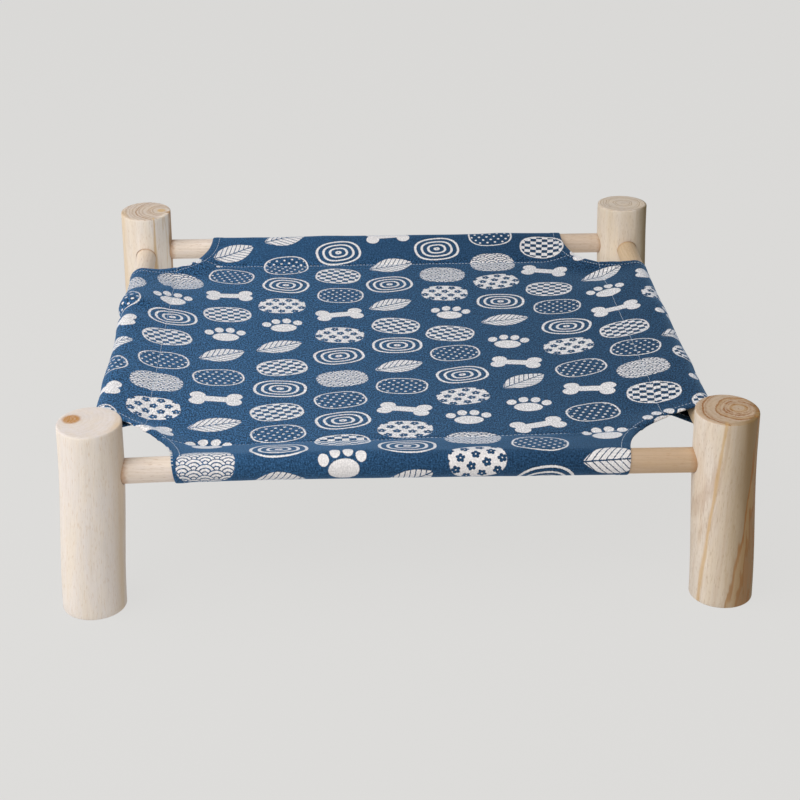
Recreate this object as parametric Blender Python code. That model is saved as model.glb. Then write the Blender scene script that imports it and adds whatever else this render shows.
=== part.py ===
"""Raised hammock bed for a small pet: four peeled log posts, four dowel rails and a canvas sling.

The frame stands on its four log ends. Each rail plugs into a blind socket in the posts at its ends,
and each edge of the canvas is folded under and sewn down as a sleeve that a rail runs through.
Metres, +Z up. The origin is on the floor, in the middle between the four posts.
The front is at -Y, the left at -X.
"""

import bmesh
import bpy
from math import asin, cos, pi, radians, sin, tan
from mathutils import Matrix, Vector

# Posts, sawn from peeled pine poles.
POST_DIAMETER = 0.048
POST_HEIGHT = 0.152
POST_SPACING_X = 0.472
POST_SPACING_Y = 0.472
POST_EDGE_ROUNDING = 0.0012

# Rails, plain turned dowels.
RAIL_DIAMETER = 0.018
RAIL_AXIS_BELOW_POST_TOP = 0.040
RAIL_END_CHAMFER = 0.0008

# Sockets that the rail ends plug into. The two in one post stop short of each other.
SOCKET_RADIAL_CLEARANCE = 0.0003
SOCKET_END_CLEARANCE = 0.0004
WOOD_BETWEEN_SOCKETS = 0.0017

# Canvas sling.
CLOTH_THICKNESS = 0.0012
CLOTH_TO_RAIL = 0.0004
SEAM_INSET_SIDES = 0.034
SEAM_INSET_ENDS = 0.042
CENTRE_SAG = 0.007

# Bare rail between a post and the sleeve's end, and how far the corner cut-out bows inwards
# from the point where the two sleeves' end lines would meet.
BARE_RAIL_ENDS = 0.040
BARE_RAIL_SIDES = 0.061
CUTOUT_BOW_X = 0.011
CUTOUT_BOW_Y = 0.034

# The panel's rim reaches this share of the cloth's thickness, up the sleeve's slope, into the wedge
# where the sleeve's two layers meet.
RIM_LAP = 0.75

# How finely round shapes are divided.
POST_SEGMENTS = 64
RAIL_SEGMENTS = 40
ROUNDING_SEGMENTS = 2
SLEEVE_ARC_STEPS = 22
CUTOUT_STEPS = 12
PANEL_CELLS = 14
SHARP_ANGLE = radians(35)

# Worked out from the sizes above.
post_radius = POST_DIAMETER / 2
rail_radius = RAIL_DIAMETER / 2
half_x = POST_SPACING_X / 2
half_y = POST_SPACING_Y / 2
rail_height = POST_HEIGHT - RAIL_AXIS_BELOW_POST_TOP
socket_radius = rail_radius + SOCKET_RADIAL_CLEARANCE
socket_depth = post_radius - socket_radius - WOOD_BETWEEN_SOCKETS
tenon_length = socket_depth - SOCKET_END_CLEARANCE
sleeve_inner_radius = rail_radius + CLOTH_TO_RAIL
sleeve_outer_radius = sleeve_inner_radius + CLOTH_THICKNESS

# Finishes: colour and roughness of each kind of piece.
PINE_LEFT = (0.83, 0.76, 0.64, 1.0)
PINE_RIGHT = (0.66, 0.50, 0.33, 1.0)
PINE_ROUGHNESS = 0.62
DOWEL = (0.70, 0.54, 0.38, 1.0)
DOWEL_ROUGHNESS = 0.55
CANVAS = (0.045, 0.125, 0.27, 1.0)
CANVAS_ROUGHNESS = 0.9

SIDES_X = (("left", -1), ("right", 1))
SIDES_Y = (("front", -1), ("back", 1))


def clear_scene():
    for old in list(bpy.data.objects):
        bpy.data.objects.remove(old, do_unlink=True)


def material(name, colour, roughness):
    made = bpy.data.materials.new(name)
    made.use_nodes = True
    shader = made.node_tree.nodes["Principled BSDF"]
    shader.inputs["Base Color"].default_value = colour
    shader.inputs["Roughness"].default_value = roughness
    shader.inputs["Metallic"].default_value = 0.0
    made.diffuse_color = colour
    return made


def add_object(name, bm, finish=None, location=(0.0, 0.0, 0.0)):
    bmesh.ops.recalc_face_normals(bm, faces=bm.faces)
    mesh = bpy.data.meshes.new(name)
    bm.to_mesh(mesh)
    bm.free()
    piece = bpy.data.objects.new(name, mesh)
    piece.location = location
    bpy.context.collection.objects.link(piece)
    if finish:
        mesh.materials.append(finish)
    return piece


def add_cutter(name, bm, location=(0.0, 0.0, 0.0)):
    cutter = add_object(name, bm, location=location)
    cutter.hide_render = True
    cutter.display_type = "WIRE"
    return cutter


def boolean(piece, tool, operation):
    step = piece.modifiers.new(operation.title() + " " + tool.name, "BOOLEAN")
    step.operation = operation
    step.solver = "EXACT"
    step.object = tool


def shade_round(piece):
    piece.data.shade_smooth()
    piece.data.set_sharp_from_angle(angle=SHARP_ANGLE)


def cylinder(radius, length, segments, along="Z"):
    """A closed cylinder centred on its own middle."""
    turn = {
        "X": Matrix.Rotation(pi / 2, 4, "Y"),
        "Y": Matrix.Rotation(pi / 2, 4, "X"),
        "Z": Matrix.Identity(4),
    }[along]
    bm = bmesh.new()
    bmesh.ops.create_cone(
        bm, cap_ends=True, segments=segments, radius1=radius, radius2=radius, depth=length, matrix=turn
    )
    return bm


def soften_rims(bm, width, segments):
    """Bevels the edges round both end faces."""
    rims = [edge for edge in bm.edges if any(len(face.verts) > 4 for face in edge.link_faces)]
    bmesh.ops.bevel(bm, geom=rims, offset=width, segments=segments, profile=0.5, affect="EDGES")


def make_post(name, side_x, side_y, finish):
    """One log post. side_x and side_y are -1 or +1, and its two sockets face the other posts."""
    bm = cylinder(post_radius, POST_HEIGHT, POST_SEGMENTS)
    soften_rims(bm, POST_EDGE_ROUNDING, ROUNDING_SEGMENTS)
    post = add_object(name, bm, finish, (side_x * half_x, side_y * half_y, POST_HEIGHT / 2))
    shade_round(post)
    # A socket's cutter is as long as the post's radius: it runs from the socket's end out past the flank.
    middle = post_radius - socket_depth + post_radius / 2
    bore_x = cylinder(socket_radius, post_radius, RAIL_SEGMENTS, "X")
    bore_y = cylinder(socket_radius, post_radius, RAIL_SEGMENTS, "Y")
    place_x = (side_x * (half_x - middle), side_y * half_y, rail_height)
    place_y = (side_x * half_x, side_y * (half_y - middle), rail_height)
    boolean(post, add_cutter(name + "_socket_x", bore_x, place_x), "DIFFERENCE")
    boolean(post, add_cutter(name + "_socket_y", bore_y, place_y), "DIFFERENCE")
    return post


def make_rail(name, along, offset, finish):
    """One dowel, from the socket in one post to the socket in the next."""
    spacing = POST_SPACING_X if along == "X" else POST_SPACING_Y
    length = spacing - 2 * (post_radius - tenon_length)
    bm = cylinder(rail_radius, length, RAIL_SEGMENTS, along)
    soften_rims(bm, RAIL_END_CHAMFER, 1)
    place = (0.0, offset, rail_height) if along == "X" else (offset, 0.0, rail_height)
    rail = add_object(name, bm, finish, place)
    shade_round(rail)
    return rail


def teardrop(radius, apex):
    """Section of a sleeve: round the rail, then two straight runs that meet at the seam.

    Points are (inwards, up) from the rail's axis. The straight runs touch the arc at their tangents.
    """
    slope = asin(radius / apex)
    first = pi / 2 - slope
    sweep = 2 * pi - 2 * first
    points = [(apex, 0.0)]
    for step in range(SLEEVE_ARC_STEPS + 1):
        angle = first + sweep * step / SLEEVE_ARC_STEPS
        points.append((radius * cos(angle), radius * sin(angle)))
    return points


def sleeve(seam_inset, half_length, place):
    """A tube of sleeve section. place turns (inwards, along, up) into a point of the object."""
    slope = asin(sleeve_outer_radius / seam_inset)
    outer = teardrop(sleeve_outer_radius, seam_inset)
    inner = teardrop(sleeve_inner_radius, seam_inset - CLOTH_THICKNESS / sin(slope))
    bm = bmesh.new()
    loops = []
    for section in (outer, inner):
        for end in (-half_length, half_length):
            loops.append([bm.verts.new(place(inwards, end, up)) for inwards, up in section])
    outer_near, outer_far, inner_near, inner_far = loops
    skins = ((outer_near, outer_far), (inner_far, inner_near))
    ends = ((outer_far, inner_far), (inner_near, outer_near))
    count = len(outer)
    for one, other in skins + ends:
        for i in range(count):
            j = (i + 1) % count
            bm.faces.new((one[i], one[j], other[j], other[i]))
    return bm


def panel():
    """The middle of the cloth, inside the four seams, hanging in a shallow bowl."""
    slope_sides = asin(sleeve_outer_radius / SEAM_INSET_SIDES)
    slope_ends = asin(sleeve_outer_radius / SEAM_INSET_ENDS)
    lap = RIM_LAP * CLOTH_THICKNESS
    reach_x = half_x - SEAM_INSET_SIDES + lap / tan(slope_sides)
    reach_y = half_y - SEAM_INSET_ENDS + lap / tan(slope_ends)
    bm = bmesh.new()
    bmesh.ops.create_grid(bm, x_segments=PANEL_CELLS, y_segments=PANEL_CELLS, size=1.0)
    for vert in bm.verts:
        across, along = vert.co.x, vert.co.y
        sag = CENTRE_SAG * (1 - across**2) * (1 - along**2)
        vert.co = Vector((across * reach_x, along * reach_y, rail_height + CLOTH_THICKNESS / 2 - sag))
    below = bmesh.ops.extrude_face_region(bm, geom=bm.faces[:])["geom"]
    for vert in below:
        if isinstance(vert, bmesh.types.BMVert):
            vert.co.z -= CLOTH_THICKNESS
    return bm


def cutout(side_x, side_y):
    """A prism over one corner of the cloth. Its inner side is the curve that the corner is cut to."""
    cloth_x = half_x + 2 * sleeve_outer_radius
    cloth_y = half_y + 2 * sleeve_outer_radius
    end_line = half_x - post_radius - BARE_RAIL_ENDS
    side_line = half_y - post_radius - BARE_RAIL_SIDES
    start = Vector((end_line, cloth_y))
    finish = Vector((cloth_x, side_line))
    pull = Vector((end_line + CUTOUT_BOW_X, side_line + CUTOUT_BOW_Y))
    outline = [Vector((cloth_x, cloth_y))]
    for step in range(CUTOUT_STEPS + 1):
        t = step / CUTOUT_STEPS
        outline.append(start * (1 - t) ** 2 + pull * 2 * t * (1 - t) + finish * t**2)
    bm = bmesh.new()
    low = rail_height - 2 * sleeve_outer_radius
    floor = bm.faces.new([bm.verts.new((side_x * p.x, side_y * p.y, low)) for p in outline])
    raised = bmesh.ops.extrude_face_region(bm, geom=[floor])["geom"]
    for vert in raised:
        if isinstance(vert, bmesh.types.BMVert):
            vert.co.z += 4 * sleeve_outer_radius
    return bm


def on_edge(side_x, side_y):
    """Turns a sleeve's (inwards, along, up) into a point of the object, for the edge on that side."""

    def place(inwards, along, up):
        if side_y:
            return (along, side_y * (half_y - inwards), rail_height + up)
        return (side_x * (half_x - inwards), along, rail_height + up)

    return place


def make_sling(finish):
    """One cloth: the panel, a sleeve along each edge, and a cut-out at each corner."""
    sling = add_object("canvas_sling", panel(), finish)
    # The sleeves stop just short of each other. The cut-outs take their ends off.
    reach_x = half_x - SEAM_INSET_SIDES - CLOTH_THICKNESS
    reach_y = half_y - SEAM_INSET_ENDS - CLOTH_THICKNESS
    edges = (
        ("front", 0, -1, SEAM_INSET_ENDS, reach_x),
        ("back", 0, 1, SEAM_INSET_ENDS, reach_x),
        ("left", -1, 0, SEAM_INSET_SIDES, reach_y),
        ("right", 1, 0, SEAM_INSET_SIDES, reach_y),
    )
    for edge, side_x, side_y, inset, half_length in edges:
        tube = sleeve(inset, half_length, on_edge(side_x, side_y))
        boolean(sling, add_cutter("sleeve_" + edge, tube), "UNION")
    for left_right, side_x in SIDES_X:
        for front_back, side_y in SIDES_Y:
            corner = "cutout_" + front_back + "_" + left_right
            boolean(sling, add_cutter(corner, cutout(side_x, side_y)), "DIFFERENCE")
    shade_round(sling)
    return sling


def build():
    clear_scene()
    for left_right, side_x in SIDES_X:
        for front_back, side_y in SIDES_Y:
            name = "post_" + front_back + "_" + left_right
            colour = PINE_LEFT if side_x < 0 else PINE_RIGHT
            make_post(name, side_x, side_y, material(name, colour, PINE_ROUGHNESS))
    rails = (
        ("rail_front", "X", -half_y),
        ("rail_back", "X", half_y),
        ("rail_left", "Y", -half_x),
        ("rail_right", "Y", half_x),
    )
    for name, along, offset in rails:
        make_rail(name, along, offset, material(name, DOWEL, DOWEL_ROUGHNESS))
    make_sling(material("canvas_sling", CANVAS, CANVAS_ROUGHNESS))


build()
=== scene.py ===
"""Looks of the raised hammock bed: four peeled log posts, four dowel rails and a printed canvas sling.

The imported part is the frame. Everything is in metres, +Z up, the front at -Y and the left at -X.
The sections follow the bed as it is put together: camera and studio, posts, rails, sling, stitching.
"""

from math import acos, atan2, cos, exp, hypot, pi, radians, sin

import bmesh
import bpy
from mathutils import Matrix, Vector, noise
from mathutils.kdtree import KDTree


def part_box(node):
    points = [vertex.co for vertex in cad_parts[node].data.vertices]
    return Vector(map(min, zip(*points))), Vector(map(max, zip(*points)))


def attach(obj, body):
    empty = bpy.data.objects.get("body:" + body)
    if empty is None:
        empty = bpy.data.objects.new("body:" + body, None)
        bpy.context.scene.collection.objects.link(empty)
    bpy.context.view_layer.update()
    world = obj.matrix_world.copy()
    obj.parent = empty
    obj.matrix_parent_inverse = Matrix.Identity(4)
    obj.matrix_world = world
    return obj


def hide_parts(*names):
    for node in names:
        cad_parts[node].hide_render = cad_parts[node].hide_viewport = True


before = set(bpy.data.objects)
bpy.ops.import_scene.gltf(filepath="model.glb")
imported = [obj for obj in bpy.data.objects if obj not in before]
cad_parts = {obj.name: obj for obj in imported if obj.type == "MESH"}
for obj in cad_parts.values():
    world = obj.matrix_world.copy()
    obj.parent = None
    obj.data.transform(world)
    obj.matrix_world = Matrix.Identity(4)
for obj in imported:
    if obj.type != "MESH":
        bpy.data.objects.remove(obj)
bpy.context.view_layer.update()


# Camera and studio. A long lens looks down at the bed from the front. The pale floor runs far past the
# view, and the light is that of a white studio, with a wide lamp at the left and two smaller ones above.

PHOTO_SIZE = 800
FOCAL_LENGTH_PIXELS = 1770
SENSOR_WIDTH = 36.0
AXIS_PIXEL_Y = 280
CAMERA_PLACE = (-0.0596, -1.4110, 0.7206)
CAMERA_TILT_DOWN = 0.3730
CAMERA_TURN_RIGHT = 0.0440
VIEW_NEAR = 0.05
VIEW_FAR = 200

camera_data = bpy.data.cameras.new("photo_camera")
camera_data.sensor_width = SENSOR_WIDTH
camera_data.lens = FOCAL_LENGTH_PIXELS * SENSOR_WIDTH / PHOTO_SIZE
camera_data.shift_y = (AXIS_PIXEL_Y - PHOTO_SIZE / 2) / PHOTO_SIZE
camera_data.clip_start = VIEW_NEAR
camera_data.clip_end = VIEW_FAR
camera = bpy.data.objects.new("photo_camera", camera_data)
camera.location = CAMERA_PLACE
camera.rotation_euler = (pi / 2 - CAMERA_TILT_DOWN, 0, -CAMERA_TURN_RIGHT)
bpy.context.scene.collection.objects.link(camera)
bpy.context.scene.camera = camera
bpy.context.scene.view_settings.view_transform = "Standard"

FLOOR_SIDE = 60
FLOOR_COLOUR = (0.045, 0.0447, 0.0441, 1)
FLOOR_GLOW = (0.679, 0.672, 0.658, 1)
FLOOR_ROUGHNESS = 0.9
SKY_COLOUR = (0.97, 0.985, 1.0, 1)
SKY_STRENGTH = 0.38
BACKDROP_COLOUR = (0.716, 0.708, 0.694, 1)

bpy.ops.object.select_all(action="DESELECT")
bpy.ops.mesh.primitive_plane_add(size=FLOOR_SIDE, location=(0, 0, 0))
floor = bpy.context.object
floor.name = "studio_floor"
floor_paint = bpy.data.materials.new("studio_floor_paint")
floor_paint.use_nodes = True
floor_shader = floor_paint.node_tree.nodes["Principled BSDF"]
floor_shader.inputs["Base Color"].default_value = FLOOR_COLOUR
floor_shader.inputs["Roughness"].default_value = FLOOR_ROUGHNESS
floor_shader.inputs["Specular IOR Level"].default_value = 0.0
floor_shader.inputs["Emission Color"].default_value = FLOOR_GLOW
floor_shader.inputs["Emission Strength"].default_value = 1.0
floor.data.materials.append(floor_paint)

world = bpy.data.worlds.new("studio_air")
world.use_nodes = True
bpy.context.scene.world = world
air = world.node_tree
air_light = air.nodes["Background"]
air_light.inputs["Color"].default_value = SKY_COLOUR
air_light.inputs["Strength"].default_value = SKY_STRENGTH
air_seen = air.nodes.new("ShaderNodeBackground")
air_seen.inputs["Color"].default_value = BACKDROP_COLOUR
air_ray = air.nodes.new("ShaderNodeLightPath")
air_mix = air.nodes.new("ShaderNodeMixShader")
air.links.new(air_ray.outputs["Is Camera Ray"], air_mix.inputs["Fac"])
air.links.new(air_light.outputs["Background"], air_mix.inputs[1])
air.links.new(air_seen.outputs["Background"], air_mix.inputs[2])
air.links.new(air_mix.outputs["Shader"], air.nodes["World Output"].inputs["Surface"])

# Each lamp's name, place, side and power.
LAMPS = (
    ("left_window", (-1.35, -0.70, 1.15), 1.7, 18.0),
    ("front_panel", (-0.60, -1.20, 1.70), 1.2, 12.0),
    ("top_left_panel", (-0.62, -0.12, 1.05), 0.8, 2.0),
)
LAMP_COLOUR = (1.0, 0.99, 0.97)
LAMP_AIM = Vector((0, 0, 0.08))

for lamp_name, place, side, power in LAMPS:
    lamp_data = bpy.data.lights.new(lamp_name, "AREA")
    lamp_data.shape = "SQUARE"
    lamp_data.size = side
    lamp_data.energy = power
    lamp_data.color = LAMP_COLOUR
    lamp = bpy.data.objects.new(lamp_name, lamp_data)
    lamp.location = place
    lamp.rotation_euler = (LAMP_AIM - Vector(place)).to_track_quat("-Z", "Y").to_euler()
    bpy.context.scene.collection.objects.link(lamp)


# Posts. Each is a length of peeled pine pole, sawn square at both ends, its rims eased with sandpaper,
# with two blind sockets bored at right angles for the rail ends. Two of the feet splay out a little.

# A rim is how far it is eased, in how many steps, and how full its curve is.
POST_SIDES = 112
POST_RINGS = 36
POST_RIM = (0.0013, 3, 0.5)
POST_END_INSETS = (0.0006, 0.005, 0.006, 0.006)
LOG_UNEVENNESS = 0.0007
LOG_NOISE_SIZE = 0.017
LOG_NOISE_STRETCH = 7
LOG_NOISE_SHIFT = (0.83, 0.71)
LOG_END_FADE = 0.004
FLANK_FROM = 0.021
SOCKET_CLEARANCE = 0.0008
SOCKET_DEPTH = 0.0130
SOCKET_SIDES = 64
SWEEP_REACH = 0.125
SAW_FROM = 0.82
SAW_MARK = (0.0011, 0.0004)
SMOOTH_ANGLE = radians(38)

PATCH_PALE = (0.997, 1.002, 1.034, 1)
PATCH_PEACH = (1.010, 0.990, 0.957, 1)
STRONG_RING_WANDER = 0.0070
RINGS_ON_FLANK = 0.25
FIBRE_RELIEF = 0.00035


class Wiring:
    """Adds nodes to one node tree and joins them as it goes. Most calls give back an output socket."""

    def __init__(self, tree):
        self.tree = tree

    def feed(self, socket, value):
        if isinstance(value, bpy.types.NodeSocket):
            self.tree.links.new(value, socket)
        else:
            socket.default_value = value

    def node(self, kind, inputs, **settings):
        made = self.tree.nodes.new("ShaderNode" + kind)
        for name, value in settings.items():
            setattr(made, name, value)
        for key, value in inputs.items():
            self.feed(made.inputs[key], value)
        return made

    def use(self, group, inputs):
        return self.node("Group", inputs, node_tree=group).outputs

    def maths(self, operation, a, b=0.0, c=0.0):
        return self.node("Math", {0: a, 1: b, 2: c}, operation=operation).outputs[0]

    def add(self, a, b):
        return self.maths("ADD", a, b)

    def sub(self, a, b):
        return self.maths("SUBTRACT", a, b)

    def mul(self, a, b):
        return self.maths("MULTIPLY", a, b)

    def least(self, a, b):
        return self.maths("MINIMUM", a, b)

    def most(self, a, b):
        return self.maths("MAXIMUM", a, b)

    def size(self, value):
        return self.maths("ABSOLUTE", value)

    def floor(self, value):
        return self.maths("FLOOR", value)

    def odd(self, value):
        return self.maths("FLOORED_MODULO", value, 2.0)

    def ramp(self, value, low, high, out_low=0.0, out_high=1.0):
        """Goes smoothly from out_low to out_high as value goes from low to high."""
        inputs = {"Value": value, "From Min": low, "From Max": high, "To Min": out_low, "To Max": out_high}
        return self.node("MapRange", inputs, interpolation_type="SMOOTHSTEP").outputs["Result"]

    def split(self, vector):
        return tuple(self.node("SeparateXYZ", {0: vector}).outputs)

    def join(self, x, y, z=0.0):
        return self.node("CombineXYZ", {"X": x, "Y": y, "Z": z}).outputs[0]

    def grey(self, value):
        return self.join(value, value, value)

    def vector(self, operation, a, b):
        return self.node("VectorMath", {0: a, 1: b}, operation=operation).outputs[0]

    def length(self, vector):
        return self.node("VectorMath", {0: vector}, operation="LENGTH").outputs["Value"]

    def from_axis(self, vector):
        """Distance from the Z axis."""
        return self.length(self.vector("MULTIPLY", vector, (1, 1, 0)))

    def noise(self, place, fineness, detail=2.0, roughness=0.5):
        """A noise with its own fineness along each axis."""
        inputs = {"Vector": self.vector("MULTIPLY", place, fineness), "Scale": 1.0, "Detail": detail,
                  "Roughness": roughness}
        return self.node("TexNoise", inputs).outputs["Fac"]

    def shake(self, place, pattern, scale, amount):
        """The place, moved a little along each axis by a noise on the pattern."""
        push = self.node("TexNoise", {"Vector": pattern, "Scale": scale, "Detail": 1.0}).outputs["Color"]
        push = self.vector("SUBTRACT", push, (0.5, 0.5, 0.5))
        push = self.node("VectorMath", {0: push, "Scale": amount}, operation="SCALE").outputs[0]
        return self.vector("ADD", place, push)

    def tint(self, share, a, b, blend_type="MIX"):
        made = self.node("Mix", {}, data_type="RGBA", blend_type=blend_type)
        for number, value in ((0, share), (6, a), (7, b)):
            self.feed(made.inputs[number], value)
        return made.outputs[2]

    def dim(self, colour, by):
        return self.tint(1.0, colour, by, "MULTIPLY")


def open_group(name, numbers, colours, outputs):
    """A shader node group that takes a Place and named numbers and colours. Gives its Wiring and inputs."""
    group = bpy.data.node_groups.new(name, "ShaderNodeTree")
    sockets = [("Place", "INPUT", "Vector")]
    sockets += [(socket, "INPUT", "Float") for socket in numbers]
    sockets += [(socket, "INPUT", "Color") for socket in colours]
    sockets += [(socket, "OUTPUT", "Color" if socket == "Colour" else "Float") for socket in outputs]
    for socket, way, kind in sockets:
        group.interface.new_socket(socket, in_out=way, socket_type="NodeSocket" + kind)
    return Wiring(group), group.nodes.new("NodeGroupInput").outputs


def close_group(w, **results):
    """Joins the results to the group's outputs and gives the group."""
    leave = w.tree.nodes.new("NodeGroupOutput")
    for name, value in results.items():
        w.feed(leave.inputs[name], value)
    return w.tree


def make_pine_grain():
    """Growth rings round the Z axis of Place, with fibres and flecks that run along it."""
    numbers = ("Ring Width", "Ring Strength", "Wander", "End Grain", "Flank Rings", "Fibre")
    colours = ("Pale", "Ring Colour", "Fleck Colour")
    w, given = open_group("pine_grain", numbers, colours, ("Colour", "Height"))
    place = given["Place"]
    end_grain = given["End Grain"]
    bent = w.shake(place, w.vector("MULTIPLY", place, (34, 34, 5.5)), 5.0, given["Wander"])
    turn = w.maths("DIVIDE", w.from_axis(bent), given["Ring Width"])
    part = w.maths("FRACT", turn)
    year = w.node("TexWhiteNoise", {"W": w.floor(turn)}, noise_dimensions="1D").outputs["Value"]
    late_wood = w.mul(w.ramp(part, 0.25, 0.88), w.ramp(part, 0.9, 1.0, 1.0, 0.0))
    rings = w.mul(w.mul(late_wood, w.ramp(year, 0.0, 1.0, 0.12, 1.0)), given["Ring Strength"])
    rings = w.mul(rings, w.ramp(end_grain, 0.0, 1.0, given["Flank Rings"], 1.7))
    fibre = w.noise(place, (1500, 1500, 34), roughness=0.6)
    strand = w.noise(place, (330, 330, 9), 3.0, 0.55)
    cloud = w.noise(place, (60, 60, 10))
    patch = w.noise(place, (85, 85, 16), 3.0, 0.65)
    fleck = w.ramp(w.noise(place, (1300, 1300, 190), 1.0), 0.56, 0.74)
    fleck = w.mul(fleck, w.sub(1.0, end_grain))
    colour = w.tint(rings, given["Pale"], given["Ring Colour"])
    colour = w.tint(w.mul(w.ramp(strand, 0.42, 0.74), given["Fibre"]), colour, given["Ring Colour"])
    colour = w.tint(w.mul(fleck, 0.34), colour, given["Fleck Colour"])
    shade = w.add(w.ramp(fibre, 0.25, 0.75, 0.955, 1.03), w.ramp(cloud, 0.3, 0.7, -0.02, 0.02))
    shade = w.sub(shade, w.mul(end_grain, 0.04))
    colour = w.dim(colour, w.grey(shade))
    # The wood is paler in some patches and more of a peach colour in others.
    colour = w.dim(colour, w.tint(w.ramp(patch, 0.34, 0.66), PATCH_PALE, PATCH_PEACH))
    height = w.add(w.mul(fibre, 0.6), w.mul(strand, 0.5))
    height = w.sub(height, w.mul(rings, 0.35))
    return close_group(w, Colour=colour, Height=height)


def make_streak_and_side_shade():
    """A band down the flank of a post, at one angle round it at the foot and another at the top. A narrow
    band is a resin streak, and a wide dark one is painted shade on the side away from the light.
    """
    numbers = ("Foot Angle", "Top Angle", "Height", "Half Width", "Roughness")
    w, given = open_group("streak_and_side_shade", numbers, (), ("Mask",))
    place = given["Place"]
    x, y, z = w.split(place)
    ragged = w.noise(place, (160, 160, 22), 3.0)
    share = w.maths("DIVIDE", z, given["Height"])
    angle = w.add(given["Foot Angle"], w.mul(share, w.sub(given["Top Angle"], given["Foot Angle"])))
    angle = w.add(angle, w.mul(w.sub(ragged, 0.5), given["Roughness"]))
    reach = w.most(w.from_axis(place), 0.0001)
    along = w.add(w.mul(x, w.maths("COSINE", angle)), w.mul(y, w.maths("SINE", angle)))
    off = w.maths("ARCCOSINE", w.least(w.maths("DIVIDE", along, reach), 0.99999))
    band = w.ramp(off, w.mul(given["Half Width"], 0.25), given["Half Width"], 1.0, 0.0)
    return close_group(w, Mask=w.mul(band, w.ramp(reach, 0.018, 0.0215)))


def make_strong_ring():
    """One strong, uneven year ring round the Z axis of Place, broken into arcs where it is patchy."""
    w, given = open_group("strong_ring", ("Radius", "Half Width", "Wander", "Patchy"), (), ("Mask",))
    place = given["Place"]
    slow = w.mul(w.sub(w.noise(place, (48, 48, 6), 1.5), 0.5), given["Wander"])
    fine = w.mul(w.sub(w.noise(place, (620, 620, 40)), 0.5), 0.0024)
    reach = w.add(w.add(w.from_axis(place), slow), fine)
    off = w.size(w.sub(reach, given["Radius"]))
    band = w.ramp(off, w.mul(given["Half Width"], 0.15), given["Half Width"], 1.0, 0.0)
    patch = w.ramp(w.noise(place, (150, 150, 10), 3.0, 0.65), 0.42, 0.56)
    return close_group(w, Mask=w.mul(band, w.sub(1.0, w.mul(given["Patchy"], patch))))


pine_grain = make_pine_grain()
streak_and_side_shade = make_streak_and_side_shade()
strong_ring = make_strong_ring()


def new_finish(name, roughness, specular):
    """A material with its Wiring and its Principled shader."""
    finish = bpy.data.materials.new(name)
    finish.use_nodes = True
    shader = finish.node_tree.nodes["Principled BSDF"]
    shader.inputs["Roughness"].default_value = roughness
    shader.inputs["Specular IOR Level"].default_value = specular
    return finish, Wiring(finish.node_tree), shader


def add_bump(w, shader, height, depth, strength=1.0):
    bump = w.node("Bump", {"Height": height, "Distance": depth, "Strength": strength})
    w.feed(shader.inputs["Normal"], bump.outputs["Normal"])


def turned_place(w, place, axis, turn):
    """The place, measured from a point and turned, so that Z runs along the grain."""
    inputs = {"Vector": place, "Location": axis, "Rotation": turn}
    return w.node("Mapping", inputs, vector_type="TEXTURE").outputs[0]


def make_pine_finish(name, centre, look):
    """Bare sanded pine. centre is the middle of the post's foot, and look is one row of POST_LOOKS."""
    finish, w, shader = new_finish(name, roughness=0.62, specular=0.25)
    place = w.node("TexCoord", {}).outputs["Object"]
    pith_x, pith_y = look["pith"]
    tilted = turned_place(w, place, (centre.x + pith_x, centre.y + pith_y, post_height), look["tilt"])
    x, y, z = w.split(place)
    slope_x, slope_y = look["saw_slope"]
    level = w.sub(z, w.add(w.mul(w.sub(x, centre.x), slope_x), w.mul(w.sub(y, centre.y), slope_y)))
    sawn = post_height + look["saw_raise"]
    end_grain = w.ramp(level, sawn - SAW_MARK[0], sawn - SAW_MARK[1])
    grain = w.use(pine_grain, {
        "Place": tilted, "Ring Width": look["ring_width"], "Ring Strength": look["ring_strength"],
        "Wander": look["wander"], "End Grain": end_grain, "Flank Rings": look["flank_rings"],
        "Fibre": look["fibre"], "Pale": look["pale"], "Ring Colour": look["ring_colour"],
        "Fleck Colour": look["fleck"],
    })
    colour = w.tint(end_grain, grain["Colour"], w.dim(grain["Colour"], look["end_tint"]))
    for radius, half_width, patchy, strength, stain_and_shade in look["strong_rings"]:
        mask = w.use(strong_ring, {
            "Place": tilted, "Radius": radius, "Half Width": half_width, "Wander": STRONG_RING_WANDER,
            "Patchy": patchy,
        })["Mask"]
        colour = w.tint(w.mul(w.mul(mask, strength), w.ramp(end_grain, 0.0, 1.0, RINGS_ON_FLANK, 1.0)),
                        colour, stain_and_shade)
    from_foot = w.vector("SUBTRACT", place, (centre.x, centre.y, 0))
    # Narrow streaks are resin, and wide dark ones are painted shade on the flank away from the light.
    for foot_angle, top_angle, half_width, ragged, strength, stain_and_shade in look["streaks_and_side_shades"]:
        mask = w.use(streak_and_side_shade, {
            "Place": from_foot, "Foot Angle": radians(foot_angle), "Top Angle": radians(top_angle),
            "Height": post_height, "Half Width": radians(half_width), "Roughness": ragged,
        })["Mask"]
        colour = w.tint(w.mul(mask, strength), colour, stain_and_shade)
    heart_radius, heart_stain = look["heart"]
    speckle = w.noise(place, (700, 700, 60))
    to_pith = w.add(w.from_axis(tilted), w.mul(speckle, 0.003))
    heart = w.mul(w.ramp(to_pith, heart_radius * 0.8, heart_radius * 1.25, 1.0, 0.0), end_grain)
    heart = w.mul(heart, w.ramp(speckle, 0.2, 0.6, 0.5, 1.0))
    w.feed(shader.inputs["Base Color"], w.tint(heart, colour, heart_stain))
    add_bump(w, shader, grain["Height"], FIBRE_RELIEF)
    return finish


def choose(piece):
    """Selects one piece alone."""
    bpy.ops.object.select_all(action="DESELECT")
    piece.select_set(True)
    bpy.context.view_layer.objects.active = piece


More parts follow.
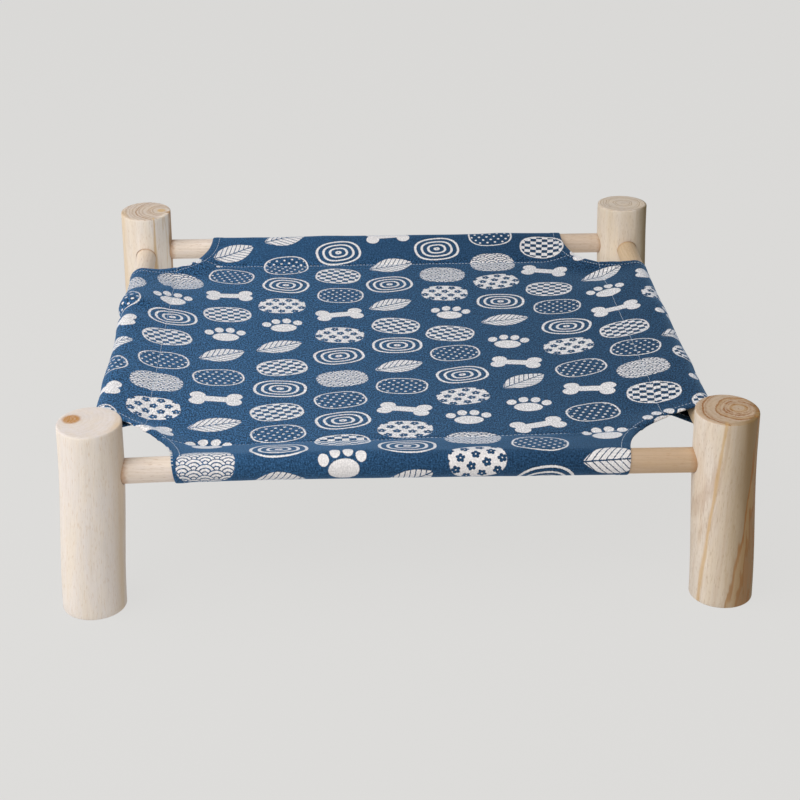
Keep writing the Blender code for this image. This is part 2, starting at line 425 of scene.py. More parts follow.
def select(piece, kind, test):
    """Opens one piece in edit mode and selects its points, edges or faces that pass the test."""
    if bpy.context.object and bpy.context.object.mode != "OBJECT":
        bpy.ops.object.mode_set(mode="OBJECT")
    choose(piece)
    bpy.ops.object.mode_set(mode="EDIT")
    bpy.ops.mesh.select_mode(type=kind)
    bpy.ops.mesh.select_all(action="DESELECT")
    mesh = bmesh.from_edit_mesh(piece.data)
    parts = {"VERT": mesh.verts, "EDGE": mesh.edges, "FACE": mesh.faces}[kind]
    for part in parts:
        part.select_set(bool(test(part)))
    mesh.select_flush_mode()


def make_pole(name, sides, radius, length, place, turn, rim, insets, rings):
    """A pole with eased rims, with end faces that close on a point and with rings of faces on its flank."""
    bpy.ops.object.select_all(action="DESELECT")
    bpy.ops.mesh.primitive_cylinder_add(
        vertices=sides, radius=radius, depth=length, location=place, rotation=turn
    )
    pole = bpy.context.object
    pole.name = name
    bpy.ops.object.transform_apply(location=True, rotation=True, scale=True)
    ease, segments, profile = rim
    # Only the two end faces have more than four corners, and only the flank's edges are long.
    select(pole, "EDGE", lambda edge: any(len(face.verts) > 4 for face in edge.link_faces))
    bpy.ops.mesh.bevel(offset=ease, segments=segments, profile=profile, affect="EDGES")
    select(pole, "FACE", lambda face: len(face.verts) > 4)
    for width in insets:
        bpy.ops.mesh.inset(thickness=width)
    bpy.ops.mesh.poke()
    select(pole, "EDGE", lambda edge: edge.calc_length() > length * 0.8)
    bpy.ops.mesh.subdivide(number_cuts=rings)
    bpy.ops.object.mode_set(mode="OBJECT")
    return pole


def make_uneven(piece, texture, strength, **settings):
    """Gives a pole's surface small bumps along its normals."""
    uneven = piece.modifiers.new("uneven", "DISPLACE")
    uneven.texture = texture
    uneven.direction = "NORMAL"
    uneven.strength = strength
    for name, value in settings.items():
        setattr(uneven, name, value)
    choose(piece)
    bpy.ops.object.modifier_apply(modifier=uneven.name)


post_low, post_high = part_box("post_front_left")
post_height = post_high.z
post_radius = (post_high.x - post_low.x) / 2
rail_low, rail_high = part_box("rail_front")
rail_radius = (rail_high.z - rail_low.z) / 2
rail_height = (rail_high.z + rail_low.z) / 2

log_noise = bpy.data.textures.new("log_unevenness", "CLOUDS")
log_noise.noise_scale = 1.0
log_noise.noise_depth = 1

PINE_TAN = (0.60, 0.47, 0.33, 1)
RESIN_YELLOW = (0.66, 0.45, 0.22, 1)
RESIN_BROWN = (0.36, 0.17, 0.065, 1)
RESIN_RED = (0.30, 0.108, 0.012, 1)
RESIN_OCHRE = (0.46, 0.27, 0.11, 1)
HEART_ORANGE = (0.44, 0.205, 0.052, 1)

# What each post looks like. pith is the middle of its rings from the middle of the post. A strong ring is
# its radius, half width, patchiness, strength and colour. A streak is its angle in degrees round the
# foot and round the top, half width in degrees, raggedness, strength and colour. The narrow streaks are
# resin, and the widest dark ones, on the right-hand flanks of the front left, front right and back right
# posts, are painted shade on the side away from the light. The sweeps are how far the foot and the top
# lean out.
POST_LOOKS = {
    "post_front_left": dict(
        pith=(-0.0128, 0.0052), tilt=(0.03, 0.05, 0), ring_width=0.0034, ring_strength=0.10, wander=0.004,
        strong_rings=(),
        flank_rings=0.5, fibre=0.12, end_tint=(0.89, 0.89, 0.92, 1),
        pale=(0.81, 0.73, 0.655, 1), ring_colour=PINE_TAN, fleck=(0.58, 0.40, 0.25, 1),
        # The wide first band is painted shade on the right-hand flank, in the browner colour the wood has
        # there.
        streaks_and_side_shades=((-14, -10, 62, 0.3, 0.40, (0.58, 0.43, 0.28, 1)), (-30, -18, 16, 0.5, 0.25, RESIN_YELLOW)),
        heart=(0.0080, HEART_ORANGE), foot_sweep=(-0.0040, -0.0008), top_sweep=(0.0006, 0.0),
        saw_slope=(0.012, 0.050), saw_raise=0.0008,
    ),
    "post_front_right": dict(
        pith=(0.0075, 0.0008), tilt=(-0.04, 0.05, 0), ring_width=0.0036, ring_strength=0.14, wander=0.0045,
        strong_rings=((0.0268, 0.0010, 0.1, 0.95, RESIN_RED), (0.0250, 0.0007, 0.6, 0.80, RESIN_BROWN),
                      (0.0158, 0.0020, 0.3, 0.70, RESIN_OCHRE), (0.0167, 0.0011, 0.3, 0.95, RESIN_RED),
                      (0.0110, 0.0015, 0.8, 0.90, RESIN_RED), (0.0056, 0.0022, 0.4, 0.95, RESIN_OCHRE),
                      (0.0138, 0.0008, 0.8, 0.80, RESIN_BROWN), (0.0084, 0.0012, 0.8, 0.90, RESIN_RED),
                      (0.0060, 0.0008, 0.7, 0.80, RESIN_RED)),
        flank_rings=0.16, fibre=0.22, end_tint=(0.80, 0.70, 0.60, 1),
        pale=(0.74, 0.64, 0.53, 1), ring_colour=(0.40, 0.21, 0.09, 1), fleck=(0.34, 0.19, 0.08, 1),
        # The first band is painted shade on the right-hand flank; the second is the wood's brown streaks
        # there, deepened with painted shade.
        streaks_and_side_shades=((-30, -34, 78, 0.2, 0.95, (0.25, 0.150, 0.055, 1)),
                 (-48, 2, 46, 0.4, 0.60, (0.30, 0.18, 0.080, 1)),
                 (-136, -106, 5.5, 0.25, 0.62, (0.60, 0.37, 0.15, 1)), (-87, -31, 4, 0.5, 0.80, RESIN_RED),
                 (-79, -23, 11, 0.9, 0.45, RESIN_OCHRE), (-71, -14, 4, 0.9, 0.60, RESIN_RED),
                 (-62, -4, 8, 1.0, 0.55, RESIN_BROWN), (-50, 8, 5, 0.8, 0.60, RESIN_RED),
                 (-94, -88, 34, 0.3, 0.26, (0.50, 0.36, 0.20, 1))),
        heart=(0.0020, RESIN_BROWN), foot_sweep=(0.0026, -0.0050), top_sweep=(-0.0008, 0.0),
        saw_slope=(0.0, 0.055), saw_raise=0.0012,
    ),
    "post_back_left": dict(
        pith=(0.0150, 0.0010), tilt=(0.02, -0.03, 0), ring_width=0.0032, ring_strength=0.36, wander=0.003,
        strong_rings=((0.0245, 0.0008, 0.1, 0.75, RESIN_BROWN), (0.0135, 0.0009, 0.4, 0.60, RESIN_OCHRE),
                      (0.0105, 0.0007, 0.6, 0.60, RESIN_OCHRE), (0.0185, 0.0007, 0.7, 0.45, RESIN_OCHRE)),
        flank_rings=0.25, fibre=0.16, end_tint=(0.84, 0.79, 0.76, 1),
        pale=(0.86, 0.78, 0.69, 1), ring_colour=(0.50, 0.32, 0.17, 1), fleck=(0.46, 0.28, 0.13, 1),
        streaks_and_side_shades=((-26, -24, 44, 0.3, 0.60, (0.95, 0.87, 0.77, 1)),
                 (-130, -130, 42, 0.2, 0.35, (0.66, 0.55, 0.44, 1)),
                 (-66, -66, 6, 0.3, 0.75, RESIN_YELLOW), (-34, -38, 4, 0.8, 0.35, RESIN_YELLOW),
                 (-10, -14, 15, 0.8, 0.85, (0.42, 0.23, 0.09, 1)),
                 (-165, -165, 34, 0.3, 0.45, RESIN_YELLOW)),
        heart=(0.0055, RESIN_YELLOW), foot_sweep=(0.0, 0.0), top_sweep=(0.0, 0.0),
        saw_slope=(0.0, 0.045), saw_raise=0.0003,
    ),
    "post_back_right": dict(
        pith=(-0.0024, 0.0005), tilt=(0.02, 0.02, 0), ring_width=0.0025, ring_strength=0.50, wander=0.004,
        strong_rings=(),
        flank_rings=0.15, fibre=0.16, end_tint=(1.03, 1.04, 1.08, 1),
        pale=(0.77, 0.66, 0.53, 1), ring_colour=(0.50, 0.36, 0.22, 1), fleck=(0.42, 0.27, 0.13, 1),
        # The wide dark second band is painted shade on the right-hand flank, the side away from the light.
        streaks_and_side_shades=((-70, -72, 4, 0.3, 0.25, PINE_TAN), (-12, -12, 76, 0.3, 0.95, (0.17, 0.115, 0.036, 1))),
        heart=(0.0012, PINE_TAN), foot_sweep=(0.0, 0.0), top_sweep=(-0.0030, 0.0),
        saw_slope=(0.0, 0.0), saw_raise=0.0012,
    ),
}


def bore_socket(log, place, direction):
    """Takes a round hole for one rail end out of a post, from the hole's bottom out past the flank."""
    reach = post_radius * 1.5
    bpy.ops.object.select_all(action="DESELECT")
    bpy.ops.mesh.primitive_cylinder_add(
        vertices=SOCKET_SIDES, radius=rail_radius + SOCKET_CLEARANCE, depth=reach,
        location=place + direction * (post_radius - SOCKET_DEPTH + reach / 2),
        rotation=direction.to_track_quat("Z", "Y").to_euler(),
    )
    drill = bpy.context.object
    choose(log)
    bore = log.modifiers.new("bore", "BOOLEAN")
    bore.operation = "DIFFERENCE"
    bore.solver = "EXACT"
    bore.object = drill
    bpy.ops.object.modifier_apply(modifier=bore.name)
    bpy.data.objects.remove(drill, do_unlink=True)


for node, look in POST_LOOKS.items():
    low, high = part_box(node)
    centre = Vector(((low.x + high.x) / 2, (low.y + high.y) / 2, 0))
    middle = (centre.x, centre.y, post_height / 2)
    log = make_pole(node + "_log", POST_SIDES, post_radius, post_height, middle, (0, 0, 0), POST_RIM,
                    POST_END_INSETS, POST_RINGS)
    for sweep, at_end in ((look["foot_sweep"], 0), (look["top_sweep"], post_height)):
        select(log, "VERT", lambda vert: abs(vert.co.z - at_end) < POST_RIM[0] / 2)
        bpy.ops.transform.translate(
            value=(*sweep, 0), use_proportional_edit=True,
            proportional_edit_falloff="SMOOTH", proportional_size=SWEEP_REACH,
        )
    bpy.ops.object.mode_set(mode="OBJECT")

    # The saw went through the top a little off square, and the flank is uneven but not the ends.
    slope_x, slope_y = look["saw_slope"]
    flank = log.vertex_groups.new(name="flank")
    for vert in log.data.vertices:
        share = max(0, vert.co.z / post_height - SAW_FROM) / (1 - SAW_FROM)
        rise = (vert.co.x - centre.x) * slope_x + (vert.co.y - centre.y) * slope_y + look["saw_raise"]
        vert.co.z += rise * share
        from_end = min(vert.co.z, post_height - vert.co.z)
        if hypot(vert.co.x - centre.x, vert.co.y - centre.y) > FLANK_FROM and from_end > POST_RIM[0] / 2:
            flank.add([vert.index], min(1.0, from_end / LOG_END_FADE), "REPLACE")
    stretcher = bpy.data.objects.new("noise_stretcher", None)
    stretcher.location = (centre.x * LOG_NOISE_SHIFT[0], centre.y * LOG_NOISE_SHIFT[1], 0)
    stretcher.scale = (LOG_NOISE_SIZE, LOG_NOISE_SIZE, LOG_NOISE_SIZE * LOG_NOISE_STRETCH)
    bpy.context.scene.collection.objects.link(stretcher)
    bpy.context.view_layer.update()
    make_uneven(log, log_noise, LOG_UNEVENNESS, texture_coords="OBJECT", texture_coords_object=stretcher,
                vertex_group="flank")
    bpy.data.objects.remove(stretcher, do_unlink=True)
    log.vertex_groups.clear()

    at_rail = Vector((centre.x, centre.y, rail_height))
    bore_socket(log, at_rail, Vector((-1 if centre.x > 0 else 1, 0, 0)))
    bore_socket(log, at_rail, Vector((0, -1 if centre.y > 0 else 1, 0)))
    bpy.ops.object.shade_smooth_by_angle(angle=SMOOTH_ANGLE)
    log.data.materials.clear()
    log.data.materials.append(make_pine_finish(node + "_pine", centre, look))
    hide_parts(node)
    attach(log, "root")


# Rails. Each is a turned dowel of close, pinkish wood with chamfered ends, pushed into the sockets of
# two posts. The cloth hides all but a hand's width of it.

RAIL_SIDES = 64
RAIL_RINGS = 60
RAIL_RIM = (0.0009, 2, 0.6)
RAIL_END_INSETS = (0.003, 0.003)
RAIL_UNEVENNESS = 0.00022
RAIL_FULLNESS = 0.00055
RAIL_RELIEF = 0.0002
SOCKET_SHADE_REACH = 0.0045
SOCKET_SHADE_STRENGTH = 0.8

# The wood's colour at a rail's left or front end and at its far end, and the middle of its rings. The
# front and back rails darken towards their right-hand ends: partly the wood's own browner colour, partly
# painted shade for the light falling off away from the left.
RAIL_LOOKS = {
    "rail_front": dict(pale=(0.81, 0.70, 0.61, 1), far=(0.565, 0.40, 0.257, 1), pith=(0.003, 0.030)),
    "rail_back": dict(pale=(0.84, 0.73, 0.64, 1), far=(0.655, 0.52, 0.405, 1), pith=(-0.004, 0.026)),
    "rail_left": dict(pale=(0.78, 0.67, 0.55, 1), far=(0.80, 0.69, 0.58, 1), pith=(0.006, 0.034)),
    "rail_right": dict(pale=(0.60, 0.46, 0.30, 1), far=(0.63, 0.475, 0.31, 1), pith=(0.004, 0.012)),
}
DOWEL_GRAIN = {
    "Ring Width": 0.0031, "Ring Strength": 0.155, "Wander": 0.004, "End Grain": 0.0, "Flank Rings": 1.0,
    "Fibre": 0.11, "Ring Colour": (0.36, 0.22, 0.11, 1), "Fleck Colour": (0.42, 0.24, 0.12, 1),
}
SOCKET_SHADE = (0.46, 0.25, 0.12, 1)

# The grain runs a degree off the dowel's own axis.
GRAIN_TURN_ALONG_X = (0, radians(91.2), 0)
GRAIN_TURN_ALONG_Y = (radians(88.9), 0, 0)

# Each rail's edge of the bed, as a direction, and how far the rail bows out and up. The front rail bows
# up a little left of its middle, and the tight cloth pulls the side rails in. The two peaks bring the
# curve of a bow up to 1 at its highest.
OUTWARDS = {"front": (0, -1), "back": (0, 1), "left": (-1, 0), "right": (1, 0)}
RAIL_BOWS = {"front": (0, 0.0022), "back": (0, 0), "left": (-0.0024, 0), "right": (-0.0030, 0)}
MIDDLE_BOW_PEAK = 4
LEFT_BOW_PEAK = 6.75
rail_length = rail_high.x - rail_low.x


def rail_bow(edge, along):
    """How far a rail's axis bows out and up, at a distance along it from its middle."""
    out, up = RAIL_BOWS[edge]
    share = min(1, max(0, along / rail_length + 0.5))
    bow = share * (1 - share)
    return Vector((out * MIDDLE_BOW_PEAK * bow, up * LEFT_BOW_PEAK * bow * (1 - share)))


def make_dowel_finish(name, centre, length, along_x, look):
    """The grain runs along the dowel, and the rings are wide beside it, as in a dowel cut from a board."""
    finish, w, shader = new_finish(name, roughness=0.55, specular=0.3)
    side, up = look["pith"]
    place = w.node("TexCoord", {}).outputs["Object"]
    if along_x:
        turned = turned_place(w, place, (0, centre.y + side, centre.z + up), GRAIN_TURN_ALONG_X)
    else:
        turned = turned_place(w, place, (centre.x + side, 0, centre.z + up), GRAIN_TURN_ALONG_Y)
    along = w.split(place)[0 if along_x else 1]
    # Painted shade together with the wood's own change of colour: the front and back rails darken towards
    # their right-hand ends.
    pale = w.tint(w.ramp(along, -length / 2, length / 2), look["pale"], look["far"])
    grain = w.use(pine_grain, {"Place": turned, "Pale": pale, **DOWEL_GRAIN})
    # Painted shade: the wood is made darker where the rail goes into its posts, where the joint lies in
    # shade.
    showing = length / 2 - SOCKET_DEPTH
    uneven = w.mul(w.noise(place, (420, 420, 420)), SOCKET_SHADE_REACH)
    stain_and_shade = w.ramp(w.add(w.size(along), uneven), showing - SOCKET_SHADE_REACH * 0.5,
                   showing + SOCKET_SHADE_REACH * 0.9)
    stain_and_shade = w.mul(stain_and_shade, SOCKET_SHADE_STRENGTH)
    w.feed(shader.inputs["Base Color"], w.tint(stain_and_shade, grain["Colour"], SOCKET_SHADE))
    add_bump(w, shader, grain["Height"], RAIL_RELIEF)
    return finish


dowel_noise = bpy.data.textures.new("dowel_unevenness", "CLOUDS")
dowel_noise.noise_scale = 0.03

for node, look in RAIL_LOOKS.items():
    low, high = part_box(node)
    centre = (low + high) / 2
    length = max(high - low)
    edge = node.removeprefix("rail_")
    x, y = OUTWARDS[edge]
    turn = (0, pi / 2, 0) if y else (pi / 2, 0, 0)
    dowel = make_pole(node + "_dowel", RAIL_SIDES, rail_radius + RAIL_FULLNESS, length, centre, turn,
                      RAIL_RIM, RAIL_END_INSETS, RAIL_RINGS)
    for vert in dowel.data.vertices:
        bow = rail_bow(edge, vert.co.x if y else vert.co.y)
        vert.co += Vector((x * bow.x, y * bow.x, bow.y))
    make_uneven(dowel, dowel_noise, RAIL_UNEVENNESS, texture_coords="LOCAL")
    bpy.ops.object.shade_smooth_by_angle(angle=SMOOTH_ANGLE)
    dowel.data.materials.append(make_dowel_finish(node + "_wood", centre, length, bool(y), look))
    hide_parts(node)
    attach(dowel, "root")


# Sling. One sheet of printed cotton canvas. Its corners are cut away in a curve and hemmed, then each
# edge is folded under round its rail and sewn down along a straight seam, so that it makes a sleeve.
# The panel between the seams hangs in a shallow bowl, and the hemmed corner edges are the tightest lines.

CANVAS_THICKNESS = 0.0008
LAYER_GAP = 0.0001
SLEEVE_CLEARANCE = 0.0015
SLEEVE_RADIUS = rail_radius + SLEEVE_CLEARANCE
SEAM_FROM_CENTRE = {"front": 0.1940, "back": 0.1930, "left": 0.2025, "right": 0.2010}
FOLD_BEYOND_SEAM = 0.0030
TURNED_IN = 0.0080

# Heights of the panel's plane at its corners, and how far the hemmed corner edges pull it up.
PLANE_HEIGHT = {"front_left": 0.1105, "front_right": 0.1165, "back_left": 0.1085, "back_right": 0.1090}
CORNER_LIFT = {"front_left": 0.0080, "front_right": 0.0030, "back_left": 0.0085, "back_right": 0.0075}
CORNER_LIFT_REACH = 0.015
SAG = 0.0070

# The side sleeves hold the panel up beside their seams, except near the corners.
SIDE_LIFT = {"left": 0.0060, "right": 0.0050}
SIDE_LIFT_REACH = 0.070
SIDE_LIFT_FALL = 1.7
SIDE_LIFT_FULL = 0.105
SIDE_LIFT_END = 0.165

# Each corner's cut: its end on the front or back sleeve, the point that pulls the curve, and its end on
# the side sleeve, as distances from the middle of the cloth. Below the crest both ends draw in a little.
CORNER_CUTS = {
    "front_left": ((0.1760, 0.243), (0.1800, 0.1760), (0.243, 0.151)),
    "front_right": ((0.1630, 0.243), (0.1665, 0.1755), (0.243, 0.159)),
    "back_left": ((0.1705, 0.243), (0.1715, 0.1740), (0.243, 0.154)),
    "back_right": ((0.1715, 0.243), (0.1655, 0.1720), (0.243, 0.155)),
}
CUT_DRAWN_IN = {"front_left": 0.0050, "front_right": 0.0030, "back_left": 0.0040, "back_right": 0.0080}
CUT_SAMPLES = 96

SLOPE_STEP = 0.0005
double_layer = 2 * CANVAS_THICKNESS + LAYER_GAP
triple_layer = 3 * CANVAS_THICKNESS + 2 * LAYER_GAP
turn_radius = double_layer / 2
rail_out = {
    "front": -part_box("rail_front")[0].y - rail_radius, "back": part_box("rail_back")[1].y - rail_radius,
    "left": -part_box("rail_left")[0].x - rail_radius, "right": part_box("rail_right")[1].x - rail_radius,
}


def smooth(value, low, high):
    """Goes smoothly from 0 to 1 as value goes from low to high."""
    share = min(1, max(0, (value - low) / (high - low)))
    return share * share * (3 - 2 * share)


def facing_way(angle):
    return Vector((cos(angle), sin(angle)))


def corner_signs(corner):
    front_back, left_right = corner.split("_")
    return (-1 if left_right == "left" else 1), (-1 if front_back == "front" else 1)


def cut_point(corner, share):
    """Flat place on a corner's cut: share 0 on the front or back sleeve, 1 on the side sleeve."""
    side_x, side_y = corner_signs(corner)
    start, pull, finish = (Vector(point) for point in CORNER_CUTS[corner])
    point = start * (1 - share) ** 2 + pull * 2 * share * (1 - share) + finish * share**2
    return Vector((side_x * point.x, side_y * point.y))


def tree_of(points):
    """The flat points, ready to find the nearest of them."""
    tree = KDTree(len(points))
    for index, point in enumerate(points):
        tree.insert((point.x, point.y, 0), index)
    tree.balance()
    return tree


cut_middle = {corner: cut_point(corner, 0.5) for corner in CORNER_CUTS}
lift_corners = [corner for corner in CORNER_CUTS for step in range(CUT_SAMPLES + 1)]
lift_tree = tree_of([cut_point(corner, step / CUT_SAMPLES) for corner in CORNER_CUTS
                     for step in range(CUT_SAMPLES + 1)])


def panel_height(x, y):
    """Height of the printed face inside the seams."""
    across = (x / SEAM_FROM_CENTRE["right"] + 1) / 2
    along = (y / SEAM_FROM_CENTRE["back"] + 1) / 2
    front = PLANE_HEIGHT["front_left"] * (1 - across) + PLANE_HEIGHT["front_right"] * across
    back = PLANE_HEIGHT["back_left"] * (1 - across) + PLANE_HEIGHT["back_right"] * across
    height = front * (1 - along) + back * along
    height -= SAG * max(0, 1 - (2 * across - 1) ** 2) * max(0, 1 - (2 * along - 1) ** 2)
    side = "left" if x < 0 else "right"
    inside_seam = min(SIDE_LIFT_REACH, max(0, SEAM_FROM_CENTRE[side] - abs(x)))
    lift = SIDE_LIFT[side] * (1 - inside_seam / SIDE_LIFT_REACH) ** SIDE_LIFT_FALL
    height += lift * smooth(abs(y), SIDE_LIFT_END, SIDE_LIFT_FULL)
    spot, index, away = lift_tree.find((x, y, 0))
    return height + CORNER_LIFT[lift_corners[index]] * exp(-((away / CORNER_LIFT_REACH) ** 2))


def on_flap(edge, along, out, height):
    """Point at a distance along an edge, out from the bed's middle, and up."""
    x, y = OUTWARDS[edge]
    return Vector((x * out + abs(y) * along, y * out + abs(x) * along, height))


def sleeve_shape(edge, along):
    """Where one slice of a sleeve leaves the seam, wraps its rail and comes back under the seam."""
    seam_out = SEAM_FROM_CENTRE[edge]
    place = on_flap(edge, along, seam_out, 0)
    top = panel_height(place.x, place.y)
    centre = Vector((rail_out[edge], rail_height)) + rail_bow(edge, along)
    runs = []
    for height, side in ((top, -1), (top - triple_layer, 1)):
        seam = Vector((seam_out, height))
        away = seam - centre
        swing = acos(SLEEVE_RADIUS / away.length)
        angle = atan2(away.y, away.x) % (2 * pi) + side * swing
        runs.append((seam, centre + SLEEVE_RADIUS * facing_way(angle), angle))
    (top_seam, top_touch, first), (under_seam, under_touch, last) = runs
    return centre, top_seam, top_touch, first, under_seam, under_touch, last - 2 * pi


# The stages of a sleeve, from the seam down to the rail, round it, back to the seam, a little past it,
# folded over and turned in, and how much cloth each of them uses.
SLOPE, WRAP, RETURN, OVERLAP, FOLD, TURNED_EDGE, CLOTH_END = range(7)
stages = {}
for edge in OUTWARDS:
    centre, top_seam, top_touch, first, under_seam, under_touch, last = sleeve_shape(edge, 0)
    stages[edge] = (
        (top_touch - top_seam).length, SLEEVE_RADIUS * (first - last), (under_touch - under_seam).length,
        FOLD_BEYOND_SEAM, pi * turn_radius, TURNED_IN,
    )


def stage_start(edge, stage):
    return SEAM_FROM_CENTRE[edge] + sum(stages[edge][:stage])


def sleeve_point(edge, along, far):
    """Place (out, up) and normal of the printed face, far metres of cloth beyond the seam."""
    centre, top_seam, top_touch, first, under_seam, under_touch, last = sleeve_shape(edge, along)
    stage = SLOPE
    while stage < TURNED_EDGE and far > stages[edge][stage]:
        far -= stages[edge][stage]
        stage += 1
    share = far / stages[edge][stage]
    if stage == SLOPE:
        run = top_touch - top_seam
        return top_seam + run * share, Vector((-run.y, run.x)).normalized()
    if stage == WRAP:
        facing = facing_way(first + (last - first) * share)
        return centre + SLEEVE_RADIUS * facing, facing
    back = under_seam - under_touch
    if stage == RETURN:
        return under_touch + back * share, Vector((-back.y, back.x)).normalized()
    if stage == OVERLAP:
        return under_seam + Vector((-far, 0)), Vector((0, -1))
    fold = under_seam + Vector((-FOLD_BEYOND_SEAM, turn_radius))
    if stage == FOLD:
        facing = facing_way(-pi / 2 - pi * share)
        return fold + turn_radius * facing, facing
    # The turned-in edge lies on the layer below it.
    level = min(far, FOLD_BEYOND_SEAM)
    outward = -back.normalized()
    return fold + Vector((level, turn_radius)) + outward * (far - level), Vector((0, 1))


def which_flap(u, v):
    """The edge whose flap holds a flat place, or None for the panel."""
    for edge, (x, y) in OUTWARDS.items():
        if u * x + v * y > SEAM_FROM_CENTRE[edge]:
            return edge
    return None


def bare_cloth(u, v):
    """Place and outward normal of the printed face at a flat place of the cloth, without its relief."""
    edge = which_flap(u, v)
    if edge is None:
        rise_x = (panel_height(u + SLOPE_STEP, v) - panel_height(u - SLOPE_STEP, v)) / (2 * SLOPE_STEP)
        rise_y = (panel_height(u, v + SLOPE_STEP) - panel_height(u, v - SLOPE_STEP)) / (2 * SLOPE_STEP)
        return Vector((u, v, panel_height(u, v))), Vector((-rise_x, -rise_y, 1)).normalized()
    x, y = OUTWARDS[edge]
    along = u if y else v
    place, facing = sleeve_point(edge, along, abs(v if y else u) - SEAM_FROM_CENTRE[edge])
    return on_flap(edge, along, place.x, place.y), Vector((x * facing.x, y * facing.x, facing.y))


# The cuts in the flat cloth. Past the rail's crest a cut runs on round the rail, to the fold under the
# seam.


def cut_line(corner, edge):
    """Flat points of the half of a corner's cut on one flap, from its middle to the fold."""
    side_x, side_y = corner_signs(corner)
    across = OUTWARDS[edge][1] != 0
    end = 0.0 if across else 1.0
    points = [cut_point(corner, 0.5 + (end - 0.5) * step / CUT_SAMPLES) for step in range(CUT_SAMPLES + 1)]
    fold = stage_start(edge, FOLD)
    last = points[-1]
    for step in range(1, CUT_SAMPLES + 1):
        share = step / CUT_SAMPLES
        drawn_in = CUT_DRAWN_IN[corner] * min(1, share * 2)
        if across:
            points.append(Vector((last.x - side_x * drawn_in, last.y + (side_y * fold - last.y) * share)))
        else:
            points.append(Vector((last.x + (side_x * fold - last.x) * share, last.y - side_y * drawn_in)))
    return points


def edge_corners(edge):
    """The two corners of an edge, the lower along value first."""
    if edge in ("front", "back"):
        return edge + "_left", edge + "_right"
    return "front_" + edge, "back_" + edge


cut_lines = {(corner, edge): cut_line(corner, edge) for edge in OUTWARDS for corner in edge_corners(edge)}
cut_tree = tree_of([point for line in cut_lines.values() for point in line])

# Slack, seams and hems. Slack is a height and how quickly it comes and goes. The grooves, puckers and
# swells are each a height, how far it reaches to both sides, and where its middle is past the seam,
# past the seam's lower side or in from the hem's edge.
SLOW_SLACK = (0.00035, 16)
QUICK_SLACK = (0.00016, 60)
PUCKER_RATE = 105
DRIFT_RATE = 31
RIPPLE_RATE = 130
SEAM_NEAR = 0.05
SEAM_GROOVE = (0.00045, 0.0014, 0)
SEAM_PUCKER = (0.00055, 0.0065, 0)
SEAM_DRIFT = (0.00030, 0.016, 0.004)
SLEEVE_SWELL = (0.00045, 0.013, 0.016)
UNDER_NEAR = 0.03
UNDER_GROOVE = (0.00025, 0.0014, 0)
UNDER_PUCKER = (0.00040, 0.006, 0.002)
HEM_NEAR = 0.03
HEM_WIDTH = 0.0075
HEM_STITCH = 0.0058
HEM_RAISE = 0.00035
HEM_GROOVE = (0.00022, 0.0009, HEM_STITCH)
HEM_RIPPLE = (0.00032, 0.009, 0)
HEM_ROLL = 0.0011
HEM_ROLL_REACH = 0.0030
HEM_ROLL_END = 0.03

# Slack folds that stand out on the sleeves: edge, place along it, reach to either side of that, height.
SLEEVE_FOLDS = (
    ("left", 0.074, 0.0074, 0.026, 0.0050), ("left", 0.038, 0.024, 0.0078, 0.0018),
    ("left", -0.082, 0.0160, 0.024, 0.0013), ("right", 0.045, 0.022, 0.0140, 0.0010),
    ("right", -0.070, 0.0130, 0.026, 0.0010), ("front", -0.030, 0.020, 0.0110, 0.0006),
    ("front", 0.092, 0.0120, 0.024, 0.0008), ("back", -0.060, 0.024, 0.0140, 0.0008),
    ("back", 0.112, 0.0120, 0.022, 0.0009),
)
FOLD_SPREAD = (1, 0.021, 0.036)

# Short puffed folds beside the seams: edge, place along it, reach, height.
SEAM_PUFFS = (
    ("left", 0.128, 0.011, 0.0018), ("right", -0.120, 0.012, 0.0010), ("front", 0.128, 0.011, 0.0011),
)
PUFF_SPREAD = (1, 0.0024, 0.0044)


def wobble(x, y, z):
    return noise.noise(Vector((x, y, z)))


def swell(shape, place):
    """How high a smooth swelling stands at one place."""
    height, reach, middle = shape
    return height * exp(-(((place - middle) / reach) ** 2))


